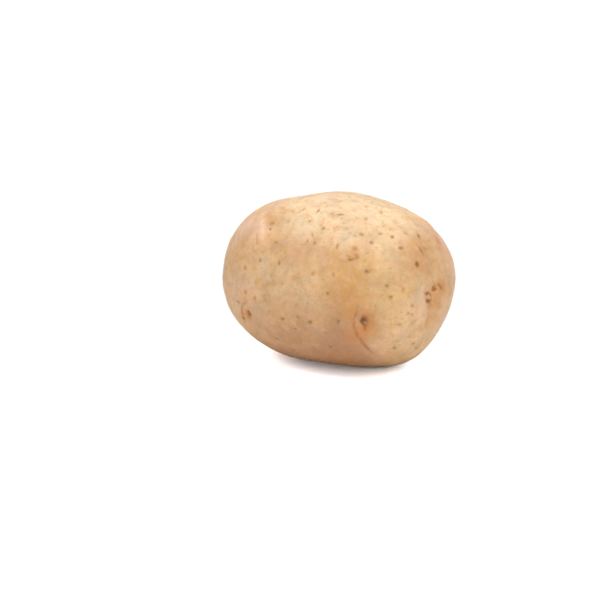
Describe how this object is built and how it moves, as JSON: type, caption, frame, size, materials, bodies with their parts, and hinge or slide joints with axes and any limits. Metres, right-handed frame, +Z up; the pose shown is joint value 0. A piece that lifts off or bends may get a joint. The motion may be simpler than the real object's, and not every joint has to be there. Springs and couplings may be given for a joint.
{
  "type": "potato",
  "caption": "Whole raw table potato with shallow eyes and thin tan skin, lying on its side; a vegetable to be stored, washed, peeled, cut and cooked.",
  "frame": {"origin": "on the surface the potato rests on, at z = 0, below the middle of its outline in plan", "axes": "+Z up as it lies; +X along its length, towards the rose end where the eyes crowd together; -X towards the heel end with the scar of the stolon; +Y to its back"},
  "size_m": [0.0972, 0.075, 0.0716],
  "materials": {
    "potato_skin": "thin golden-tan potato skin with a soft satin sheen, rosy and ochre mottling, small brown lenticels and dark eye pits"
  },
  "bodies": {
    "root": {"potato": "potato_skin"}
  },
  "joints": []
}
